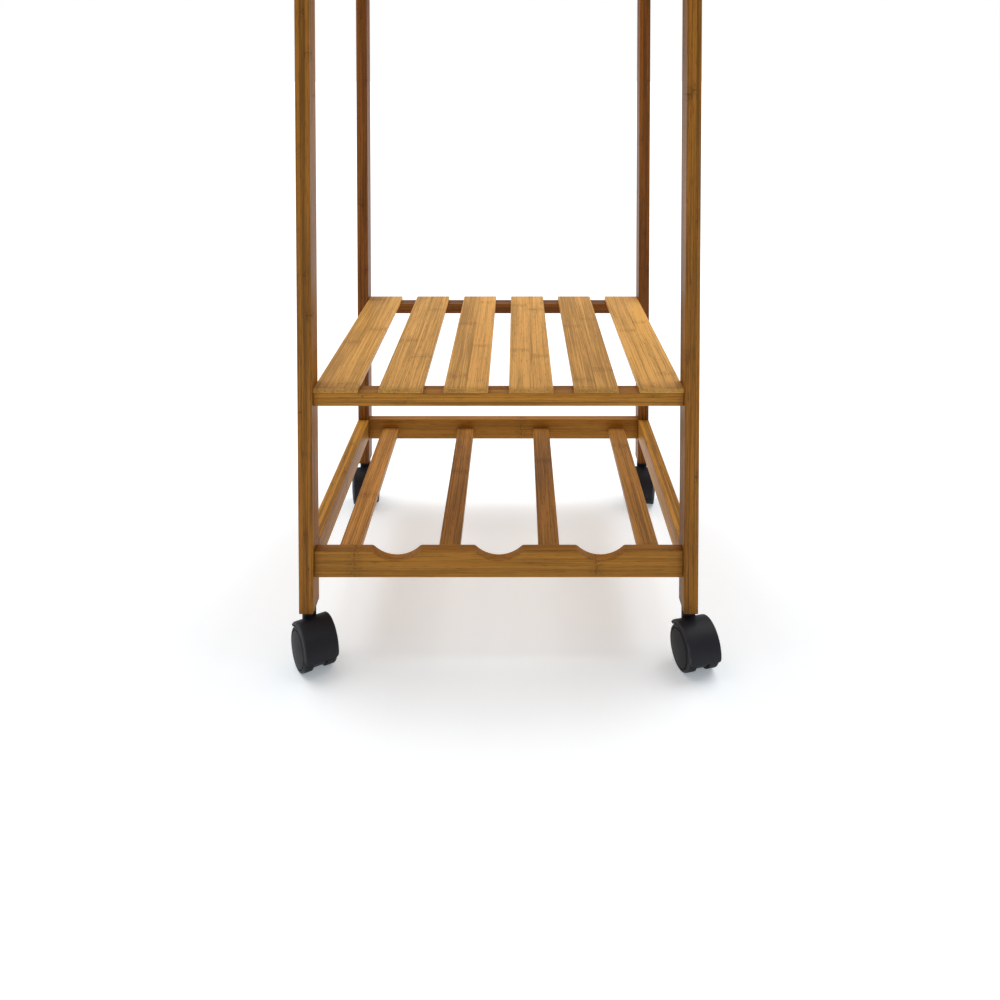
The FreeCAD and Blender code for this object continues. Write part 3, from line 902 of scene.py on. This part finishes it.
@dataclass
class ScallopedRail(Member):
    """The rack's front rail, with a scallop for each bottle neck.

    Attributes:
        pitch: Distance between two scallops.
        count: How many scallops there are.
        radius: Radius of a scallop.
        depth: Depth of a scallop.
        shoulder: Radius of the rounding beside a scallop.
        arc_steps: Edges along a scallop's arc.
        shoulder_steps: Edges along a shoulder's arc.
    """

    pitch: float = 103.5 * MM
    count: int = 3
    radius: float = 34.0 * MM
    depth: float = 10.0 * MM
    shoulder: float = 4.0 * MM
    arc_steps: int = 28
    shoulder_steps: int = 6

    def shape(self) -> BMesh:
        """Its mesh: an outline of spun arcs, extruded through the rail and softened."""
        low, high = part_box(self.node)
        reach = self.radius + self.shoulder
        drop = reach - self.depth
        half = math.sqrt(reach**2 - drop**2)
        lean = math.atan2(half, drop)
        bend = high.z - self.shoulder
        mesh = bmesh.new()
        at = mesh.verts.new((low.x, low.y, high.z))
        first = at

        def onward(point: tuple[float, float, float]) -> None:
            """Runs the outline straight on to a point."""
            nonlocal at
            after = mesh.verts.new(point)
            mesh.edges.new((at, after))
            at = after

        def swing(centre: tuple[float, float, float], angle: float, steps: int) -> None:
            """Runs the outline on along an arc."""
            nonlocal at
            turned = bmesh.ops.spin(
                mesh, geom=[at], cent=centre, axis=(0, 1, 0), dvec=(0, 0, 0), angle=angle,
                steps=steps,
            )
            at = turned["geom_last"][0]

        for index in range(self.count):
            x = (low.x + high.x) / 2 + (index - (self.count - 1) / 2) * self.pitch
            onward((x - half, low.y, high.z))
            swing((x - half, low.y, bend), lean, self.shoulder_steps)
            swing((x, low.y, high.z - self.depth + self.radius), -2 * lean, self.arc_steps)
            swing((x + half, low.y, bend), lean, self.shoulder_steps)
        for x, z in ((high.x, high.z), (high.x, low.z), (low.x, low.z)):
            onward((x, low.y, z))
        mesh.edges.new((at, first))
        face = bmesh.ops.contextual_create(mesh, geom=mesh.edges[:])["faces"]
        pushed = bmesh.ops.extrude_face_region(mesh, geom=face)["geom"]
        moved = [item for item in pushed if isinstance(item, BMVert)]
        bmesh.ops.translate(mesh, vec=(0, high.y - low.y, 0), verts=moved)
        bmesh.ops.recalc_face_normals(mesh, faces=mesh.faces)
        softened(mesh, sharp_edges(mesh), self.edge)
        return mesh


@dataclass
class Posts:
    """The four upright posts."""

    edge: float = 1.0 * MM

    def members(self) -> list[Member]:
        """The posts, the back ones in a darker stain that is partly painted shade."""
        made = []
        for index, corner in enumerate(CORNERS):
            bamboo = Bamboo(
                Stain.POST if corner.startswith("front") else Stain.BACK_PAINTED_SHADE, Grain.ALONG_Z,
                strips=3, layers=2, node_gap=0.26, node_start=0.1 + 0.05 * index,
                seed=11.3 + index, contrast=0.95,
            )
            made.append(Member(f"post_{corner}", bamboo, edge=self.edge))
        return made


@dataclass
class MiddleShelf:
    """The shelf of six slats on two rails."""

    slats: int = 6
    slat_edge: float = 0.7 * MM

    def members(self) -> list[Member]:
        """The rails and the slats."""
        front = Bamboo(
            Stain.RAIL, Grain.ALONG_X, strips=2, layers=3, node_gap=0.29, node_start=0.12,
            seed=3.2,
        )
        # The back rail takes the darker back stain, which holds painted shade.
        back = Bamboo(
            Stain.BACK_PAINTED_SHADE, Grain.ALONG_X, strips=2, layers=3, node_gap=0.24, node_start=0.05,
            seed=7.7, contrast=0.7,
        )
        made = [Member("middle_rail_front", front), Member("middle_rail_back", back)]
        for index in range(self.slats):
            # The slats' stain holds a painted sheen as well as their colour.
            bamboo = Bamboo(
                Stain.SLAT_PAINTED_SHEEN, Grain.ALONG_Y, strips=2, node_gap=0.19,
                node_start=0.05 + 0.037 * (index * 3 % 5), node_scatter=0.8,
                seed=21.0 + 1.7 * index, contrast=0.75,
            )
            made.append(Member(f"middle_slat_{index + 1}", bamboo, "bamboo_slat", self.slat_edge))
        return made


@dataclass
class BottleRack:
    """The low rack of four rails and four slats.

    Attributes:
        slat_nodes: Place of the first culm node along each slat.
        slat_edge: Width of the slats' rounded edges.
    """

    slat_nodes: tuple[float, ...] = (0.13, 0.19, 0.22, 0.016)
    slat_edge: float = 0.8 * MM

    def members(self) -> list[Member]:
        """The rails and the slats."""
        front = Bamboo(
            Stain.RACK_RAIL, Grain.ALONG_X, strips=2, node_gap=0.243, node_start=0.0405,
            node_scatter=0.0, seed=5.4,
        )
        back = Bamboo(
            Stain.RACK_RAIL, Grain.ALONG_X, strips=2, node_gap=0.27, node_start=0.21,
            node_scatter=0.0, seed=8.1, contrast=0.85,
        )
        made = [ScallopedRail("rack_rail_front", front), Member("rack_rail_back", back)]
        for index, side in enumerate(SIDES):
            bamboo = Bamboo(
                Stain.SIDE_RAIL, Grain.ALONG_Y, strips=3, node_gap=0.22, node_start=0.09,
                seed=31.0 + index, contrast=0.85,
            )
            made.append(Member(f"rack_rail_{side}", bamboo))
        for index, start in enumerate(self.slat_nodes):
            bamboo = Bamboo(
                Stain.RACK_DEEP if index else Stain.RACK_PALE, Grain.ALONG_Y, node_gap=0.25,
                node_start=start, node_scatter=0.0, seed=41.0 + 2.3 * index, contrast=0.9,
            )
            made.append(Member(f"rack_slat_{index + 1}", bamboo, "bamboo_slat", self.slat_edge))
        return made


@dataclass
class Worktop:
    """The aprons and the edge-glued board on them."""

    board_strips: int = 20
    board_layers: int = 3
    corner_radius: float = 14.0 * MM
    corner_steps: int = 10
    board_edge: float = 2.5 * MM

    def members(self) -> list[Member]:
        """The aprons."""
        made = []
        rows = ((ENDS, Grain.ALONG_X, 0.07, 51.0), (SIDES, Grain.ALONG_Y, 0.11, 55.0))
        for places, grain, start, seed in rows:
            for index, place in enumerate(places):
                bamboo = Bamboo(
                    Stain.RAIL, grain, strips=2, layers=2, node_gap=0.25, node_start=start,
                    seed=seed + index,
                )
                made.append(Member(f"apron_{place}", bamboo))
        return made

    def build_board(self) -> Object:
        """The board, with round corners and soft upper and lower edges."""
        low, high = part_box("top_board")
        mesh = plain_block(low, high)
        upright = [
            edge for edge in mesh.edges
            if abs(edge.verts[0].co.z - edge.verts[1].co.z) > MERGE
        ]
        softened(mesh, upright, self.corner_radius, self.corner_steps)
        softened(mesh, sharp_edges(mesh), self.board_edge)
        bamboo = Bamboo(
            Stain.BOARD, Grain.ALONG_X, strips=self.board_strips, layers=self.board_layers,
            node_gap=0.23, node_start=0.04, seed=63.0,
        )
        finish = bamboo.dress("top_board_bamboo", low, high)
        place = Place("frame", "bamboo_slat", ("top_board",))
        return settled("top_board_member", mesh, finish, place)


# -------- casters
@dataclass
class Caster:
    """One hooded twin-wheel caster, drawn about its stem axis and trailing towards -Y.

    Attributes:
        corner: The post that it stands under.
        hood_finish: The hood's material.
        wheel_finish: The wheels' material.
    """

    corner: str
    hood_finish: Material
    wheel_finish: Material

    # Wheel: radii, and distances from the caster's middle.
    wheel_radius: float = 21.5 * MM
    wheel_inner: float = 7.0 * MM
    wheel_round: float = 2.0 * MM
    axle_radius: float = 3.05 * MM
    axle_reach: float = 15.0 * MM
    tread_lines: tuple[float, float] = (10.0 * MM, 12.4 * MM)
    line_half: float = 0.35 * MM
    line_depth: float = 0.3 * MM
    crisp_round: float = 0.12 * MM

    # Outer face: a dome inside a rim, with a groove whose radii are counted in from the rim.
    wheel_rim: float = 18.7 * MM
    wheel_dome: float = 1.5 * MM
    face_steps: int = 8
    rim_groove: float = 1.1 * MM
    groove_radii: tuple[float, float, float] = (0.2 * MM, 1.0 * MM, 1.2 * MM)

    # Inner face: a hollow between the hub and the ring that carries the tread.
    hub_radius: float = 7.0 * MM
    dish_depth: float = 3.0 * MM
    dish_radii: tuple[float, float] = (7.8 * MM, 17.6 * MM)
    ring_radius: float = 18.6 * MM

    # Hood.
    trail: float = 14.2 * MM
    hood_radius: float = 25.3 * MM
    hood_pocket: float = 22.5 * MM
    hood_width: float = 34.5 * MM
    hood_rim: float = 1.9 * MM
    hood_corner: float = 4.0 * MM
    skirt_height: float = 17.5 * MM
    lead_height: float = 36.0 * MM

    # Core and neck. The insets keep faces apart that would otherwise coincide.
    core_width: float = 13.0 * MM
    core_radius: float = 19.5 * MM
    column_bottom: float = 17.0 * MM
    neck_radius: float = 7.0 * MM
    neck_top: float = 51.5 * MM
    neck_round: float = 0.5 * MM
    overlap: float = 1.0 * MM
    disc_inset: float = 0.998
    column_inset: float = 0.996
    steps: int = 96

    @property
    def axle(self) -> Vector:
        """The middle of the axle in the caster's own frame."""
        return Vector((0, -self.trail, self.wheel_radius))

    def set_down(self, mesh: BMesh) -> None:
        """Moves a mesh from the caster's own frame to its place and turn at rest."""
        joints = {joint["name"]: joint for joint in frame["joints"]}
        x, y, _ = joints[f"swivel_{self.corner}"]["pos_m"]
        across = joints[f"roll_{self.corner}_left"]["axis"]
        turn = Matrix.Rotation(math.atan2(across[1], across[0]), 4, "Z")
        stand = Matrix.Translation((x, y, 0)) @ turn
        bmesh.ops.transform(mesh, matrix=stand, verts=mesh.verts)

    def on_rim(self, edge: BMEdge) -> bool:
        """Whether an edge lies on the outer radius of a hood that is centred on its axle."""
        radii = [math.hypot(vert.co.y, vert.co.z) for vert in edge.verts]
        return all(abs(radius - self.hood_radius) < MERGE for radius in radii)

    def on_shoulder(self, edge: BMEdge) -> bool:
        """Whether an edge joins the wheel's tread to its outer face."""
        return all(
            abs(vert.co.x - self.hood_width / 2) < MERGE
            and math.hypot(vert.co.y, vert.co.z) > self.wheel_rim + MM
            for vert in edge.verts
        )

    def drum(self) -> BMesh:
        """The hood's two fenders and the web between them, cut off along one slope."""
        half, web = self.hood_width / 2, self.core_width / 2
        outline = [
            (-web, 0.0), (-web, self.hood_pocket),
            (-half, self.hood_pocket), (-half, self.hood_radius),
            (half, self.hood_radius), (half, self.hood_pocket),
            (web, self.hood_pocket), (web, 0.0),
        ]
        mesh = spun(outline, self.steps)
        rims = [edge for edge in sharp_edges(mesh) if self.on_rim(edge)]
        softened(mesh, rims, self.hood_rim)

        skirt = self.skirt_height - self.wheel_radius
        lead = self.lead_height - self.wheel_radius
        trailing = Vector((0, -math.sqrt(self.hood_radius**2 - skirt**2), skirt))
        leading = Vector((0, math.sqrt(self.hood_radius**2 - lead**2), lead))
        slope = (leading - trailing).normalized()
        down = slope.cross(Vector((1, 0, 0)))
        sliced(mesh, trailing, down)
        for sign in SIDES.values():
            out = Vector((sign, 0, 0))
            centre = trailing + out * (half - self.hood_corner) - down * self.hood_corner
            for degrees in (15, 30, 45, 60, 75):
                lean = math.radians(degrees)
                facing = out * math.cos(lean) + down * math.sin(lean)
                sliced(mesh, centre + facing * self.hood_corner, facing)
        bmesh.ops.translate(mesh, vec=self.axle, verts=mesh.verts)
        return mesh

    def build_hood(self) -> Object:
        """The hood with its core and neck."""
        half = self.core_width / 2
        across = Vector((half * self.disc_inset, 0, 0))
        crown = self.wheel_radius + math.sqrt(self.hood_pocket**2 - self.trail**2)
        up = Vector((0, 0, 1))
        disc = closed_rod(self.axle - across, self.axle + across, self.core_radius, self.steps)
        column_top = up * (crown + self.overlap)
        column = closed_rod(up * self.column_bottom, column_top, half * self.column_inset)
        neck = closed_rod(up * (crown - self.overlap), up * self.neck_top, self.neck_radius)
        top = [edge for edge in sharp_edges(neck) if edge.verts[0].co.z > crown]
        softened(neck, top, self.neck_round)
        mesh = fused([self.drum(), disc, column, neck])
        self.set_down(mesh)
        node = f"caster_{self.corner}_hood"
        place = Place(f"caster_{self.corner}", "black_plastic", (node,))
        return settled(f"{node}_shell", mesh, self.hood_finish, place)

    def wheel_outline(self) -> list[tuple[float, float]]:
        """Half section of the right wheel, from its bore over tread and face to the axle's line."""
        inner, tread, rim = self.wheel_inner, self.wheel_radius, self.wheel_rim
        face, dish = self.hood_width / 2, inner + self.dish_depth
        outline = [
            (self.axle_reach, 0.0), (self.axle_reach, self.axle_radius),
            (inner, self.axle_radius), (inner, self.hub_radius),
            (dish, self.dish_radii[0]), (dish, self.dish_radii[1]),
            (inner, self.ring_radius), (inner, tread),
        ]
        for line in self.tread_lines:
            near, far = line - self.line_half, line + self.line_half
            bottom = tread - self.line_depth
            outline += [(near, tread), (near, bottom), (far, bottom), (far, tread)]
        outline += [(face, tread), (face, rim)]
        outer, within, start = self.groove_radii
        groove = face - self.rim_groove
        outline += [(groove, rim - outer), (groove, rim - within)]
        for step in range(self.face_steps + 1):
            radius = (rim - start) * (1 - step / self.face_steps)
            outline.append((face + self.wheel_dome * (1 - (radius / rim) ** 2), radius))
        return outline

    def build_wheel(self, side: str) -> Object:
        """One wheel, with a grooved tread and a domed face set in a rim.

        Args:
            side: The side of the hood that the wheel is on.

        Returns:
            The wheel.
        """
        mesh = spun(self.wheel_outline(), self.steps)
        shoulder = [edge for edge in sharp_edges(mesh) if self.on_shoulder(edge)]
        softened(mesh, shoulder, self.wheel_round)
        crisp = [
            edge for edge in sharp_edges(mesh)
            if abs(edge.verts[0].co.x - edge.verts[1].co.x) < MERGE
        ]
        softened(mesh, crisp, self.crisp_round, 2)
        if side == "left":
            bmesh.ops.scale(mesh, vec=(-1, 1, 1), verts=mesh.verts)
        bmesh.ops.translate(mesh, vec=self.axle, verts=mesh.verts)
        self.set_down(mesh)
        node = f"caster_{self.corner}_wheel_{side}"
        place = Place(node, "wheel_plastic", (node,))
        return settled(f"{node}_tyre", mesh, self.wheel_finish, place)

    def build(self) -> None:
        """Makes the hood and both wheels."""
        self.build_hood()
        for side in SIDES:
            self.build_wheel(side)


# -------- fittings
@dataclass
class Fittings:
    """The dowels, screws, stems, axles and sockets, whose CAD shapes stay."""

    def finishes(self) -> dict[str, Material]:
        """The material for each ending of a node's name."""
        steel = PlatedSteel().dress("zinc_plated_steel")
        return {
            "frame_dowels": RawBirch().dress("birch_dowel"),
            "rack_slat_dowels": RawBirch(grain=Grain.ALONG_Y).dress("birch_slat_dowel"),
            "screws": steel,
            "stem": steel,
            "axle": steel,
            "socket": MouldedPlastic(tint(20, 20, 22), dust=0.0).dress("socket_plastic"),
        }

    def dress(self) -> None:
        """Gives each of these nodes its material."""
        finishes = self.finishes()
        for name, node in frame["nodes"].items():
            for ending, finish in finishes.items():
                if name.endswith(ending):
                    node.data.materials.clear()
                    node.data.materials.append(finish)
                    log.info("%s: %s", name, finish.name)
                    break


# -------- studio
@dataclass
class Studio:
    """A pale floor, soft light all round and the camera.

    Attributes:
        lens: Focal length for a sensor 36 mm wide.
        eye: Where the camera stands.
        pitch: How far the camera looks down, in radians.
        shift: The lens shift across and up, in sensor widths.
        floor_tint: The colour of the floor's faint glow.
        sky: How bright the sky is to everything but the camera.
        lamp_width: How wide each light looks, which softens its shadows.
        lamp_lean: How far each light leans over from behind.
        lamp_swing: How far each light leans over from its side.
    """

    lens: float = 32.557
    eye: tuple[float, float, float] = (0.01795, -1.07314, 0.604)
    pitch: float = 0.0325
    shift: tuple[float, float] = (-0.01645, -0.40655)
    floor_size: float = 60.0
    floor_colour: Colour = tint(240, 243, 245)
    floor_tint: Colour = (0.86, 0.94, 1.0, 1.0)
    floor_glow: float = 0.26
    sky: float = 0.5
    lamp: float = 1.3
    lamp_width: float = math.radians(50)
    lamp_lean: float = math.radians(-16)
    lamp_swing: float = math.radians(30)

    def build_floor(self) -> None:
        """A wide plain floor just under the wheels."""
        mesh = bmesh.new()
        bmesh.ops.create_grid(mesh, x_segments=1, y_segments=1, size=self.floor_size / 2)
        floor = as_object("floor", mesh)
        painter = Painter("pale_floor")
        painter.fill(painter.shader, Base_Color=self.floor_colour, Roughness=0.9)
        painter.fill(painter.shader, Specular_IOR_Level=0.0, Emission_Color=self.floor_tint)
        painter.fill(painter.shader, Emission_Strength=self.floor_glow)
        floor.data.materials.append(painter.material)

    def light(self) -> None:
        """A dim even sky behind a white backdrop, and two very soft high lights from behind."""
        world = bpy.data.worlds.new("soft_studio")
        world.use_nodes = True
        wiring = Wiring(world.node_tree)
        seen = wiring.add("ShaderNodeLightPath").outputs["Is Camera Ray"]
        strength = wiring.sum("MULTIPLY_ADD", seen, 1.0 - self.sky, self.sky)
        wiring.fill(world.node_tree.nodes["Background"], Color=(1, 1, 1, 1), Strength=strength)
        bpy.context.scene.world = world
        for side, sign in SIDES.items():
            light = bpy.data.lights.new(f"softbox_{side}", "SUN")
            light.energy = self.lamp
            light.angle = self.lamp_width
            lamp = bpy.data.objects.new(f"softbox_{side}", light)
            lamp.rotation_euler = (self.lamp_lean, self.lamp_swing * sign, 0)
            bpy.context.scene.collection.objects.link(lamp)

    def place_camera(self) -> None:
        """The camera, looking at the cart's lower half from the front."""
        data = bpy.data.cameras.new("camera")
        data.lens = self.lens
        data.sensor_width = 36.0
        data.shift_x, data.shift_y = self.shift
        camera = bpy.data.objects.new("camera", data)
        camera.location = self.eye
        camera.rotation_euler = (math.pi / 2 - self.pitch, 0, 0)
        bpy.context.scene.collection.objects.link(camera)
        bpy.context.scene.camera = camera

    def build(self) -> None:
        """Sets up the whole studio, with plain display colours."""
        self.place_camera()
        self.build_floor()
        self.light()
        bpy.context.scene.view_settings.view_transform = "Standard"


def main() -> None:
    """Builds the cart's looks in order and reports each piece."""
    logging.basicConfig(level=logging.INFO, format="%(message)s")
    Studio().build()
    worktop = Worktop()
    for assembly in (Posts(), MiddleShelf(), BottleRack(), worktop):
        for member in assembly.members():
            member.build()
    worktop.build_board()
    hood = MouldedPlastic(tint(28, 28, 33), dust=0.1).dress("hood_plastic")
    tyre = MouldedPlastic(tint(18, 18, 21), roughness=0.55, dust=0.6, dust_reach=12.0 * MM)
    wheel = tyre.dress("wheel_plastic")
    for corner in CORNERS:
        Caster(corner, hood, wheel).build()
    Fittings().dress()


if __name__ == "__main__":
    main()
